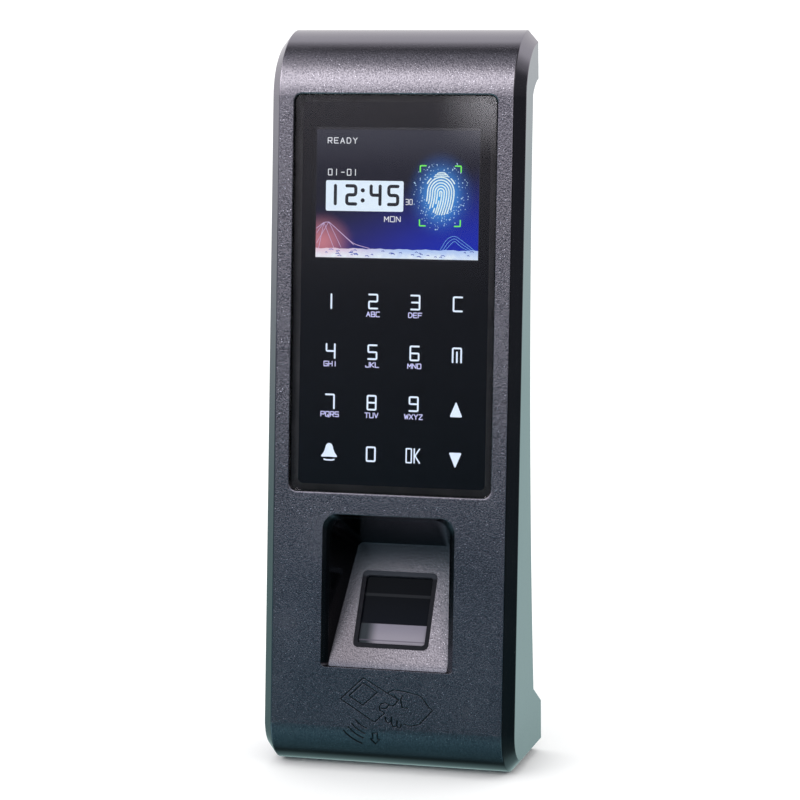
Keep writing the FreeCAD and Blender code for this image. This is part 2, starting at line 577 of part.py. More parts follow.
def foot_parts():
    floor = UNDERSIDE + WALL
    ring = post(SPEAKER_R, floor, floor + 0.9, SPEAKER_X, SPEAKER_Y)
    ring = ring.cut(post(SPEAKER_R - 1.5, floor - 1, floor + 2, SPEAKER_X, SPEAKER_Y))
    speaker = fuse([post(SPEAKER_R, floor + 0.9, floor + 3.4, SPEAKER_X, SPEAKER_Y),
                    post(5.0, floor + 3.4, floor + 5.4, SPEAKER_X, SPEAKER_Y)])
    board = block(5.5, 22.8, -31.0, -7.6, SERVICE_BOARD_Z, SERVICE_BOARD_Z + SERVICE_BOARD_T)
    screws = []
    for x, y in SERVICE_POSTS:
        board = board.cut(post(CLEAR_R, floor, SERVICE_BOARD_Z + 5, x, y))
        top = SERVICE_BOARD_Z + SERVICE_BOARD_T
        head = post(HEAD_R, top, top + 1.2, x, y)
        screws.append(head.fuse(post(SHANK_R, floor + 2, top, x, y)))
    port = block(PORT_X - 3.9, PORT_X + 3.9, PORT_Y - 1.7, PORT_Y + 1.7, floor + 0.2,
                 SERVICE_BOARD_Z)
    port = port.cut(block(PORT_X - 3.5, PORT_X + 3.5, PORT_Y - 1.3, PORT_Y + 1.3, floor - 1,
                          SERVICE_BOARD_Z - 1))
    tongue = block(PORT_X - 2.8, PORT_X + 2.8, PORT_Y - 0.4, PORT_Y + 0.4, floor + 1.2,
                   SERVICE_BOARD_Z - 1)
    port = port.fuse(tongue)
    body_foot = SERVICE_BOARD_Z - 3.0
    body = block(RESET_X - 3, RESET_X + 3, RESET_Y - 3, RESET_Y + 3, body_foot, SERVICE_BOARD_Z)
    body = body.cut(post(1.75, body_foot + 0.5, body_foot + 2.2, RESET_X, RESET_Y))
    body = body.cut(post(1.05, body_foot - 1, body_foot + 1, RESET_X, RESET_Y))
    button = fuse([post(1.7, body_foot + 0.6, body_foot + 1.6, RESET_X, RESET_Y),
                   post(1.0, UNDERSIDE + 0.8, body_foot + 0.7, RESET_X, RESET_Y)])
    return {"speaker_gasket": ring, "speaker": speaker, "service_board": board,
            "service_screws": Part.makeCompound(screws), "service_port": port,
            "reset_switch": body, "reset_button": button}


# Rear cover, wall plate and tamper switch, in the wall frame

def rear_cover():
    shape = [plate(2 * COVER_HALF, COVER_TOP - COVER_FOOT, PANEL_FRONT, PANEL_BACK, 3.0, 0,
                   (COVER_TOP + COVER_FOOT) / 2)]
    for side in (-1, 1):
        x0, x1 = sorted((side * (COVER_HALF - COVER_WALL), side * COVER_HALF))
        for z0, z1, front in COVER_WALL_STEPS:
            shape.append(block(x0, x1, front, PANEL_BACK - 0.5, z0, z1))
    shape += beside_flange(COVER_HALF - COVER_WALL, CASE_HALF - WALL - GAP, FLANGE_T, 0)
    for x in (-CASE_SCREW_X, CASE_SCREW_X):
        for z in (CASE_SCREW_TOP, CASE_SCREW_FOOT):
            shape.append(pin(4.2, PANEL_FRONT - 2.0, PANEL_FRONT, x, z))
    cover = fuse(shape)
    for x in (-CASE_SCREW_X, CASE_SCREW_X):
        for z in (CASE_SCREW_TOP, CASE_SCREW_FOOT):
            cover = cover.cut(pin(2.8, -5.1, 0, x, z))
            cover = cover.cut(pin(1.65, -20, 0, x, z))
    x0, x1, z0, z1 = COVER_WINDOW
    cover = cover.cut(block(x0, x1, -10, 0, z0, z1))
    for x in HOOK_X:
        cover = cover.cut(block(x - HOOK_W / 2 - 0.4, x + HOOK_W / 2 + 0.4, -10, 0,
                                HOOK_Z - 5.8, HOOK_Z + 0.05))
    cover = cover.cut(block(-9, 9, -10, 0, COVER_FOOT - 1, -107.4))
    return cover.cut(pin(2.05, -10, 0, TAMPER_X, TAMPER_Z))


def case_gasket():
    forward = (FLANGE_T + GASKET_T + GAP) / 2
    return Part.makeCompound(beside_flange(33.7, 35.3, GASKET_T, forward))


def case_screws():
    screws = []
    for x in (-CASE_SCREW_X, CASE_SCREW_X):
        for z in (CASE_SCREW_TOP, CASE_SCREW_FOOT):
            head = pin(2.6, -5.05, -3.4, x, z)
            head = head.cut(pin(1.1, -4.5, -3.0, x, z))
            screws.append(head.fuse(pin(1.4, -13.5, -5.05, x, z)))
    return Part.makeCompound(screws)


def wall_plate():
    shape = [plate(2 * PLATE_HALF, PLATE_TOP - PLATE_FOOT, -PLATE_T, 0, 4.0, 0,
                   (PLATE_TOP + PLATE_FOOT) / 2),
             block(-8, 8, -PLATE_T, 0, TONGUE_Z, PLATE_FOOT + 1),
             block(-8, 8, -14, 0, TONGUE_Z, TONGUE_Z + PLATE_T)]
    for x in HOOK_X:
        x0, x1 = x - HOOK_W / 2, x + HOOK_W / 2
        shape.append(block(x0, x1, -7.2, -PLATE_T, HOOK_Z - PLATE_T, HOOK_Z))
        shape.append(block(x0, x1, -7.2, -5.7, HOOK_Z - PLATE_T, HOOK_Z + 3.5))
    body = fuse(shape)
    x0, x1, z0, z1 = PLATE_WINDOW
    body = body.cut(block(x0, x1, -9, 9, z0, z1))
    for x in (-WALL_SCREW_DX / 2, WALL_SCREW_DX / 2):
        for z in (-WALL_SCREW_DZ / 2, WALL_SCREW_DZ / 2):
            body = body.cut(pin(WALL_SCREW_R, -9, 9, x, z))
    return body.cut(post(1.55, TONGUE_Z - 5, TONGUE_Z + 5, 0, LOCK_SCREW_Y))


def lock_screw():
    head = post(3.0, UNDERSIDE + 0.05, UNDERSIDE + LOCK_HEAD_T, 0, LOCK_SCREW_Y)
    head = head.cut(post(1.2, UNDERSIDE - 1, UNDERSIDE + 1.2, 0, LOCK_SCREW_Y))
    return head.fuse(post(1.5, UNDERSIDE + LOCK_HEAD_T, LOCK_SCREW_TOP, 0, LOCK_SCREW_Y))


def tamper_parts():
    x, z = TAMPER_X, TAMPER_Z
    body = block(x - 3.2, x + 3.2, -9.6, PANEL_FRONT, z - 3.2, z + 3.2)
    body = body.cut(pin(2.45, -8.8, -5.9, x, z))
    body = body.cut(pin(2.05, -6.5, -5.0, x, z))
    plunger = fuse([pin(2.35, -7.0, -6.1, x, z), pin(2.0, -6.2, -PLATE_T - 0.05, x, z)])
    return {"tamper_switch": body, "tamper_plunger": plunger}


def all_parts():
    nodes = {"front_shell": front_shell(), "finger_well": finger_well()}
    for group in (glass_parts(), display_parts(), keypad_parts(), board_parts(), card_parts()):
        for name, shape in group.items():
            nodes[name] = to_wall(shape)
    nodes["sensor_ribbon"] = to_wall(sensor_ribbon())
    for name, shape in sensor_parts().items():
        nodes[name] = ramp_to_wall(shape)
    nodes.update(foot_parts())
    nodes.update({"rear_cover": rear_cover(), "case_gasket": case_gasket(),
                  "case_screws": case_screws(), "wall_plate": wall_plate(),
                  "lock_screw": lock_screw()})
    nodes.update(tamper_parts())
    return nodes


os.makedirs("parts", exist_ok=True)
for node_name, node_shape in all_parts().items():
    assert node_shape.isValid(), node_name
    assert all(solid.isClosed() for solid in node_shape.Solids), node_name
    node_shape.exportStep(f"parts/{node_name}.step")
    print(node_name, len(node_shape.Solids), round(node_shape.Volume, 1))
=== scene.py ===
import math
import random

import bpy
from mathutils import Matrix, Vector


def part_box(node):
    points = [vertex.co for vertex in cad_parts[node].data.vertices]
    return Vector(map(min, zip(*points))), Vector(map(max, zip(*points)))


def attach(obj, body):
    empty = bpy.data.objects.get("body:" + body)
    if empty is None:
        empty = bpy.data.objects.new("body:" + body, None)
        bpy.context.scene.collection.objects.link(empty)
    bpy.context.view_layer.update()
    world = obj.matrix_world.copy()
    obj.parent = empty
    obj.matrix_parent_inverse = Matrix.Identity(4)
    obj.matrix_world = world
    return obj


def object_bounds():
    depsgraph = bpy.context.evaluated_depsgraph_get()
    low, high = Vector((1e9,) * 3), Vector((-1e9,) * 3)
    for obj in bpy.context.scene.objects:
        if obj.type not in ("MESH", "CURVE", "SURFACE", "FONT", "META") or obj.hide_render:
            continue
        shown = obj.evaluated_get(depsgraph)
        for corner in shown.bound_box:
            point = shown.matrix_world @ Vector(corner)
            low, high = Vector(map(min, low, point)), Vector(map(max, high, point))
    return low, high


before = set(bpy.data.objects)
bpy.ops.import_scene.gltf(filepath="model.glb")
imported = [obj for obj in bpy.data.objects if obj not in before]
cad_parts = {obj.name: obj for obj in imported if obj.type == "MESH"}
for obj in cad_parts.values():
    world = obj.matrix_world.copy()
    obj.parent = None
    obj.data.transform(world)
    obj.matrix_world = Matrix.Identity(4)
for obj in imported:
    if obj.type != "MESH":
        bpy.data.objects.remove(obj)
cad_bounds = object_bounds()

# Looks of a wall-mounted fingerprint terminal. Lengths in the tables are millimetres in a working
# plane: x to the right, v up the plane and d behind it. Plane.at turns them into metres.

MM = 0.001
BODY = "casing"
FACE_TILT = math.radians(5.75)
RAMP_TILT = FACE_TILT + math.radians(25.5)
FLAT_HALF = 34.8              # half width of the casing's flat front
FOOT_ROLL = 12.0              # radius of the rolled foot
FOOT_ROLL_V = -125.6          # v of that roll's centre
SENSOR_BOARD_MIDDLE = 12.9    # depth of the sensor board's middle behind the ramp

# Half width, foot and top of the finger recess and of the lit picture.
WELL_HALF, WELL_FOOT, WELL_TOP = 20.2, -108.5, -63.0
LCD_HALF, LCD_LOW, LCD_HIGH = 24.3, 10.45, 47.3

# Depths behind the casing's front.
GLASS_MIDDLE = 1.4
GLASS_BACK = 2.4
LCD_FACE = 4.3

# Front and back depth of each layer of thin pieces, from the glass to the display.
LEGEND_LAYER = (GLASS_BACK + 0.004, GLASS_BACK + 0.012)
INK_LAYER = (GLASS_BACK + 0.016, GLASS_BACK + 0.05)
WORD_LAYER = (LCD_FACE - 0.034, LCD_FACE - 0.027)
BRACKET_LAYER = (LCD_FACE - 0.030, LCD_FACE - 0.022)
RIDGE_LAYER = (LCD_FACE - 0.025, LCD_FACE - 0.016)
SHAPE_LAYER = (LCD_FACE - 0.025, LCD_FACE - 0.018)
PICTURE_LAYER = (LCD_FACE - 0.014, LCD_FACE - 0.004)


def centre_of(node):
    low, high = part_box(node)
    return (low + high) / 2


class Plane:
    """A flat working frame on the object."""

    def __init__(self, tilt, point, depth):
        self.up = Vector((0, math.sin(tilt), math.cos(tilt)))
        self.back = Vector((0, math.cos(tilt), -math.sin(tilt)))
        self.origin = point - self.back * depth * MM

    def at(self, x, v, d=0.0):
        return self.origin + (Vector((x, 0, 0)) + self.up * v + self.back * d) * MM


FACE = Plane(FACE_TILT, centre_of("cover_glass"), GLASS_MIDDLE)
RAMP = Plane(RAMP_TILT, centre_of("sensor_board"), SENSOR_BOARD_MIDDLE)


# Camera, light and floor

def make_camera():
    """A long lens to the right of the object. Its angles are measured from the face."""
    azimuth, elevation, roll = math.radians(15.8), math.radians(3.576), math.radians(0.945)
    place = FACE.at(240.762, 24.575, -840.63)
    level = Vector((-math.sin(azimuth), 0, 0)) + FACE.back * math.cos(azimuth)
    ahead = level * math.cos(elevation) - FACE.up * math.sin(elevation)
    right = Vector((math.cos(azimuth), 0, 0)) + FACE.back * math.sin(azimuth)
    up = right.cross(ahead)
    right_rolled = right * math.cos(roll) + up * math.sin(roll)
    up_rolled = up * math.cos(roll) - right * math.sin(roll)
    data = bpy.data.cameras.new("camera")
    data.lens = 137.17
    data.sensor_width = 36.0
    camera = bpy.data.objects.new("camera", data)
    turn = Matrix((right_rolled, up_rolled, -ahead)).transposed().to_4x4()
    camera.matrix_world = Matrix.Translation(place) @ turn
    bpy.context.scene.collection.objects.link(camera)
    bpy.context.scene.camera = camera


def make_light():
    """A soft box up in front, aimed at the object. Reflections show the surround instead of it."""
    azimuth, elevation, distance = math.radians(-20), math.radians(31), 1.6
    width, height, radiance = 1.1, 0.74, 2.1
    level = Vector((math.sin(azimuth), -math.cos(azimuth), 0))
    outward = level * math.cos(elevation) + Vector((0, 0, math.sin(elevation)))
    data = bpy.data.lights.new("key", "AREA")
    data.shape = "RECTANGLE"
    data.size, data.size_y = width, height
    data.energy = radiance * math.pi * width * height
    data.color = (1.0, 0.97, 1.0)
    light = bpy.data.objects.new("key", data)
    light.location = outward * distance
    light.rotation_mode = "QUATERNION"
    light.rotation_quaternion = outward.to_track_quat("Z", "Y")
    light.visible_camera = False
    light.visible_glossy = False
    bpy.context.scene.collection.objects.link(light)


class Nodes:
    """Short calls for building a node tree."""

    def __init__(self, tree):
        self.tree = tree

    def feed(self, socket, value):
        if isinstance(value, bpy.types.NodeSocket):
            self.tree.links.new(value, socket)
        else:
            socket.default_value = value

    def add(self, kind, inputs=(), output=0, **settings):
        made = self.tree.nodes.new(kind)
        for key, value in settings.items():
            setattr(made, key, value)
        for key, value in dict(inputs).items():
            self.feed(made.inputs[key], value)
        return made.outputs[output]

    def maths(self, operation, a, b=0.0, c=0.0):
        return self.add("ShaderNodeMath", {0: a, 1: b, 2: c}, operation=operation)

    def product(self, first, *others):
        for other in others:
            first = self.maths("MULTIPLY", first, other)
        return first

    def length(self, a, b):
        """Length of the flat vector a, b."""
        return self.maths("SQRT", self.maths("ADD", self.product(a, a), self.product(b, b)))

    def dot(self, vector, axis):
        return self.add("ShaderNodeVectorMath", {0: vector, 1: axis}, output="Value",
                        operation="DOT_PRODUCT")

    def step(self, value, start, end, low=0.0, high=1.0):
        """Smooth change from low to high as value goes from start to end."""
        return self.add("ShaderNodeMapRange", {"Value": value, "From Min": start, "From Max": end,
                                               "To Min": low, "To Max": high},
                        interpolation_type="SMOOTHSTEP")

    def band(self, value, start, end, soft):
        """1 between start and end, 0 outside."""
        rise = self.step(value, start - soft, start + soft)
        fall = self.step(value, end - soft, end + soft, 1.0, 0.0)
        return self.product(rise, fall)

    def mix(self, factor, a, b):
        return self.add("ShaderNodeMix", {0: factor, 6: a, 7: b}, output=2, data_type="RGBA")

    def noise(self, scale, detail=2.0):
        return self.add("ShaderNodeTexNoise", {"Vector": self.place(), "Scale": scale,
                                               "Detail": detail})

    def cells(self, scale, output="Distance", feature="F1"):
        return self.add("ShaderNodeTexVoronoi", {"Vector": self.place(), "Scale": scale},
                        output=output, feature=feature)

    def place(self):
        return self.add("ShaderNodeTexCoord", output="Object")

    def stops(self, factor, stops, interpolation="EASE"):
        """A colour ramp from a list of (place, colour)."""
        ramp = self.tree.nodes.new("ShaderNodeValToRGB")
        ramp.color_ramp.interpolation = interpolation
        elements = ramp.color_ramp.elements
        for _ in stops[2:]:
            elements.new(0.5)
        for element, (position, colour) in zip(elements, stops):
            element.position = position
            element.color = rgba(colour)
        self.feed(ramp.inputs[0], factor)
        return ramp.outputs[0]


def rgba(colour):
    return (*colour, 1.0)


def make_world():
    """A pale surround for the camera and soft light, with its own picture for reflections.

    Reflections see a room that is dim in front, brighter up and to the left, with one small lamp,
    and a pale room behind that turns green-blue near the floor.
    """
    world = bpy.data.worlds.new("studio")
    world.use_nodes = True
    world.cycles.sampling_method = "NONE"
    n = Nodes(world.node_tree)
    n.tree.nodes.clear()
    direction = n.add("ShaderNodeTexCoord", output="Generated")
    side, behind, height = (n.dot(direction, axis) for axis in ((1, 0, 0), (0, 1, 0), (0, 0, 1)))
    rear = rear_room(n, behind, height)
    front = front_room(n, side, height)
    lamp = n.product(n.band(side, -0.252, -0.185, 0.012), n.band(height, 0.125, 0.165, 0.012),
                     n.step(behind, 0.0, 0.1, 1.0, 0.0))
    front = n.mix(lamp, front, (3.6, 3.5, 3.8, 1))
    room = n.mix(n.step(behind, -0.30, 0.05), front, rear)
    reflected = n.add("ShaderNodeLightPath", output="Is Glossy Ray")
    colour = n.mix(reflected, (1.3, 1.3, 1.3, 1), room)
    background = n.add("ShaderNodeBackground", {"Color": colour, "Strength": 1.0})
    output = n.tree.nodes.new("ShaderNodeOutputWorld")
    n.feed(output.inputs["Surface"], background)
    bpy.context.scene.world = world


def rear_room(n, behind, height):
    """Reflected colour behind the object. Its ramps go from in front, 0, to behind, 1."""
    place = n.maths("MULTIPLY_ADD", behind, 0.5, 0.5)
    level = n.stops(place, [(0.42, (0.05, 0.052, 0.062)), (0.53, (0.060, 0.060, 0.070)),
                            (0.58, (0.28, 0.27, 0.30)), (0.72, (0.80, 0.78, 0.83)),
                            (1.0, (1.0, 0.98, 1.0))])
    low = n.stops(place, [(0.42, (0.010, 0.022, 0.026)), (0.55, (0.04, 0.065, 0.065)),
                          (0.72, (0.20, 0.32, 0.31)), (1.0, (0.50, 0.70, 0.68))])
    return n.mix(n.step(height, -0.16, 0.02), low, level)


def front_room(n, side, height):
    """Reflected colour in front of the object. Its ramp goes from straight down, 0, to up, 1."""
    lift = n.maths("MULTIPLY_ADD", height, 0.5, 0.5)
    colour = n.stops(lift, [(0.35, (0.13, 0.24, 0.27)), (0.45, (0.036, 0.077, 0.094)),
                            (0.485, (0.015, 0.034, 0.048)), (0.533, (0.078, 0.083, 0.106)),
                            (0.559, (0.22, 0.21, 0.245)), (0.589, (0.52, 0.49, 0.56)),
                            (0.621, (0.54, 0.51, 0.57)), (0.684, (0.66, 0.63, 0.67)),
                            (0.81, (1.0, 0.95, 1.0)), (0.872, (0.47, 0.445, 0.48)),
                            (0.924, (0.17, 0.165, 0.185)), (1.0, (0.15, 0.15, 0.17))], "LINEAR")
    leftward = n.add("ShaderNodeMapRange", {"Value": side, "From Min": -0.36, "From Max": -0.14,
                                            "To Min": 2.1, "To Max": 1.0})
    strength = n.product(leftward, n.step(side, 0.0, 0.4, 1.0, 0.15),
                         n.step(height, 0.15, 0.45, 1.0, 1.65))
    return n.add("ShaderNodeVectorMath", {0: colour, "Scale": strength}, operation="SCALE")


def make_floor():
    """A plain pale floor just under the object, left out of its reflections."""
    half = 4.0
    gap = 0.0002
    level = cad_bounds[0].z - gap
    mesh = bpy.data.meshes.new("floor")
    mesh.from_pydata([(-half, -half, level), (half, -half, level), (half, half, level),
                      (-half, half, level)], [], [(0, 1, 2, 3)])
    floor = bpy.data.objects.new("floor", mesh)
    bpy.context.scene.collection.objects.link(floor)
    paper = Finish("floor_paper", Roughness=0.9)
    paper.set("Base Color", paper.mix(paper.noise(3.0), (0.93, 0.94, 0.94, 1),
                                      (0.95, 0.96, 0.96, 1)))
    mesh.materials.append(paper.material)
    floor.visible_glossy = False


# Finishes

class Finish(Nodes):
    """A procedural material for one slot."""

    def __init__(self, name, **shader):
        self.material = bpy.data.materials.new(name)
        self.material.use_nodes = True
        super().__init__(self.material.node_tree)
        self.shader = self.tree.nodes["Principled BSDF"]
        for key, value in shader.items():
            self.shader.inputs[key.replace("_", " ")].default_value = value

    def set(self, socket, value):
        self.feed(self.shader.inputs[socket], value)

    def bump(self, height, millimetres, normal=None, strength=1.0):
        inputs = {"Height": height, "Distance": millimetres * MM, "Strength": strength}
        if normal is not None:
            inputs["Normal"] = normal
        return self.add("ShaderNodeBump", inputs)

    def soft_edges(self, millimetres):
        """The surface's normal with its sharp edges rounded."""
        return self.add("ShaderNodeBevel", {"Radius": millimetres * MM}, samples=4)

    def across(self, axis):
        """Distance along an axis of the object from its origin, in millimetres."""
        return self.maths("DIVIDE", self.dot(self.place(), axis), MM)

    def along(self, plane, axis):
        """Distance along an axis from a working plane's origin, in millimetres."""
        return self.maths("SUBTRACT", self.across(axis), plane.origin.dot(axis) / MM)


def scaled(colour, factor):
    return tuple(min(1.0, channel * factor) for channel in colour)


def moulded(name, colour, roughness=0.5, metallic=0.0, grain=1400.0, depth=0.012, spread=0.12,
            **shader):
    """A general finish: fine surface grain, slow colour drift and uneven gloss."""
    f = Finish(name, Metallic=metallic, **shader)
    fine = f.noise(grain, 3.0)
    drift = f.noise(60.0, 4.0)
    f.set("Base Color", f.mix(drift, rgba(scaled(colour, 1 - spread)),
                              rgba(scaled(colour, 1 + spread))))
    f.set("Roughness", f.step(f.noise(140.0, 3.0), 0.3, 0.7, roughness - 0.06, roughness + 0.08))
    f.set("Normal", f.bump(fine, depth, f.soft_edges(0.15)))
    return f


def groove_shade_mask(f):
    """1 inside the engraved sign, where the surface lies below the front or the foot's roll."""
    v = f.along(FACE, FACE.up)
    below = f.maths("MINIMUM", f.maths("SUBTRACT", v, FOOT_ROLL_V), 0.0)
    inward = f.maths("SUBTRACT", FOOT_ROLL, f.along(FACE, FACE.back))
    sunk = f.band(f.maths("SUBTRACT", FOOT_ROLL, f.length(below, inward)), 0.14, 0.45, 0.04)
    outward = f.maths("ABSOLUTE", f.across((1, 0, 0)))
    return f.product(sunk, f.band(v, -133.5, -110.0, 0.2), f.step(outward, 15.5, 16.0, 1.0, 0.0))


def front_mask(f, outward):
    """1 on the grained front and the sensor ramp, 0 on the smooth sides and the recess's walls."""
    normal = f.add("ShaderNodeTexCoord", output="Normal")
    facing = f.step(f.dot(normal, -FACE.back), 0.60, 0.86)
    return f.product(facing, f.step(outward, FLAT_HALF - 0.45, FLAT_HALF - 0.15, 1.0, 0.0))


def painted_recess_and_lower_front_shade(f, body, grained, outward):
    """Painted shade: the recess, the top of its ramp and the lower front are painted darker than
    the rest.
    """
    v, depth = f.along(FACE, FACE.up), f.along(FACE, FACE.back)
    well = f.product(f.band(v, WELL_FOOT, WELL_TOP, 0.3), f.step(depth, 0.7, 1.0),
                     f.step(outward, WELL_HALF, WELL_HALF + 0.4, 1.0, 0.0))
    # Painted shade in the recess, stronger on its left than on its right.
    leftward = f.step(f.across((1, 0, 0)), -19.0, 19.0, 0.76, 0.20)
    body = f.mix(f.product(well, leftward), body, (0.115, 0.108, 0.115, 1))
    # Painted shade at the top of the ramp, under the recess's roof.
    ramp_top = f.product(well, grained, f.step(v, -86.0, -71.5, 0.0, 0.95))
    body = f.mix(ramp_top, body, (0.020, 0.024, 0.028, 1))
    # Painted shade on the lower front, in a dark blue-green.
    lower_front = f.product(f.step(v, -25.0, -88.0, 0.0, 0.45), f.step(depth, 0.6, 2.5, 1.0, 0.0),
                            grained)
    return f.mix(lower_front, body, (0.057, 0.083, 0.120, 1))


def casing_paint():
    """Gunmetal lacquer: orange-peel grain with flakes on the front, smooth gloss on the sides, and
    painted shade in hollows, grooves, corners, the recess and the lower front.
    """
    f = Finish("casing_paint", Metallic=1.0)
    outward = f.maths("ABSOLUTE", f.across((1, 0, 0)))
    grained = front_mask(f, outward)
    grain = f.maths("MULTIPLY_ADD", f.noise(2100.0, 2.0), 0.72,
                    f.product(f.noise(4600.0, 1.0), 0.28))
    peel = f.bump(grain, 0.075, f.soft_edges(0.22), grained)
    f.set("Normal", f.bump(f.noise(260.0, 2.0), 0.006, peel))

    flakes = 2300.0                  # cells per metre
    bright = f.step(f.dot(f.cells(flakes, "Color"), (1, 0, 0)), 0.87, 0.95)
    sparkle = f.product(bright, f.step(f.cells(flakes), 0.20, 0.36, 1.0, 0.0), grained)
    body = f.mix(f.noise(22.0, 3.0), (0.300, 0.292, 0.318, 1), (0.345, 0.336, 0.362, 1))
    # Painted shade in the hollows of the grain.
    pit_shade = f.product(grained, f.step(grain, 0.36, 0.56, 0.62, 0.0))
    body = f.mix(pit_shade, body, (0.09, 0.09, 0.11, 1))
    # Painted shade in the engraved sign's grooves.
    body = f.mix(groove_shade_mask(f), body, (0.030, 0.036, 0.041, 1))
    body = f.mix(sparkle, body, (0.72, 0.72, 0.78, 1))
    body = painted_recess_and_lower_front_shade(f, body, grained, outward)
    # Painted shade in closed-in corners and hollows, from ambient occlusion.
    open_air = f.add("ShaderNodeAmbientOcclusion", {"Distance": 30 * MM}, output="AO", samples=6)
    corner_shade = f.product(f.step(open_air, 0.34, 0.98, 1.0, 0.0),
                          f.maths("MULTIPLY_ADD", grained, 0.34, 0.50))
    f.set("Base Color", f.mix(corner_shade, body, (0.025, 0.042, 0.050, 1)))

    smudge = f.step(f.noise(45.0, 4.0), 0.35, 0.75, 0.0, 0.07)
    smooth = f.maths("ADD", smudge, 0.12)
    rough = f.maths("ADD", smudge, 0.22)
    f.set("Roughness", f.add("ShaderNodeMix", {0: grained, 2: smooth, 3: rough}))
    return f


def zinc_steel():
    """Galvanised sheet with crystal spangle."""
    f = Finish("zinc_steel", Metallic=1.0)
    crystals = 430.0                 # cells per metre
    spangle = f.dot(f.cells(crystals, "Color"), (0.5, 0.3, 0.2))
    f.set("Base Color", f.mix(spangle, (0.57, 0.535, 0.53, 1), (0.71, 0.675, 0.67, 1)))
    f.set("Roughness", f.step(spangle, 0.2, 0.8, 0.26, 0.46))
    edge = f.bump(f.cells(crystals, feature="DISTANCE_TO_EDGE"), 0.01, f.soft_edges(0.12))
    f.set("Normal", f.bump(f.noise(700.0, 3.0), 0.006, edge))
    return f


def board_finish(name, mask, copper):
    """Solder mask over copper tracks, which show as slightly lighter lines."""
    f = Finish(name)
    tracks = f.step(f.cells(420.0, feature="DISTANCE_TO_EDGE"), 0.05, 0.12, 1.0, 0.0)
    drift = f.noise(90.0, 2.0)
    base = f.mix(drift, rgba(scaled(mask, 0.85)), rgba(scaled(mask, 1.15)))
    f.set("Base Color", f.mix(tracks, base, rgba(copper)))
    f.set("Roughness", f.step(f.noise(500.0), 0.3, 0.7, 0.30, 0.42))
    f.set("Normal", f.bump(tracks, 0.035))
    return f


def panel_glass():
    """Clear toughened glass with faint finger marks."""
    f = Finish("panel_glass", Base_Color=(1, 1, 1, 1), IOR=1.5, Transmission_Weight=1.0,
               Specular_IOR_Level=0.12)
    f.set("Roughness", f.step(f.noise(30.0, 2.0), 0.62, 0.80, 0.0, 0.008))
    f.set("Normal", f.bump(f.noise(9.0, 1.0), 0.002))
    return f


def sensor_glass():
    """Dark prism block, darker towards the top, with painted light: the lamp's lit strip low down
    and the mirror's faint line above.
    """
    f = Finish("sensor_glass", IOR=1.5, Specular_IOR_Level=0.04)
    up = f.along(RAMP, RAMP.up)
    dark = f.mix(f.step(up, -6.0, 9.0), (0.0035, 0.0048, 0.0080, 1), (0.0025, 0.0036, 0.0052, 1))
    line = f.product(f.band(up, 4.3, 5.2, 0.12), 0.75)
    colour = f.mix(line, dark, (0.020, 0.022, 0.026, 1))
    # Painted light: the lamp's lit strip seen through the glass, fading to dark at its left end.
    strip = f.mix(f.step(up, -9.6, -4.4), (0.25, 0.235, 0.28, 1), (0.19, 0.18, 0.225, 1))
    fade = f.step(f.across((1, 0, 0)), -8.2, -4.2)
    strip = f.mix(fade, (0.030, 0.036, 0.043, 1), strip)
    colour = f.mix(f.band(up, -10.6, -4.1, 0.08), colour, strip)
    seam = f.product(f.band(up, -9.35, -9.0, 0.10), 0.75)
    colour = f.mix(seam, colour, (0.10, 0.09, 0.12, 1))
    f.set("Base Color", colour)
    f.set("Roughness", f.step(f.noise(300.0, 4.0), 0.45, 0.8, 0.05, 0.16))
    f.set("Normal", f.bump(f.noise(90.0, 2.0), 0.002))
    return f


def seal_rubber():
    """Black rubber with painted light along its upper side."""
    f = Finish("seal_rubber", IOR=1.5, Specular_IOR_Level=0.12)
    worn = f.mix(f.noise(200.0), (0.004, 0.005, 0.008, 1), (0.008, 0.009, 0.013, 1))
    # Painted light: the upper side is painted lighter, as if lit from above.
    painted_top_light = f.step(f.along(RAMP, RAMP.up), 9.6, 10.6)
    f.set("Base Color", f.mix(painted_top_light, worn, (0.026, 0.031, 0.040, 1)))
    f.set("Roughness", f.step(f.noise(900.0), 0.3, 0.7, 0.34, 0.50))
    f.set("Normal", f.bump(f.noise(2200.0, 2.0), 0.010, f.soft_edges(0.25)))
    return f


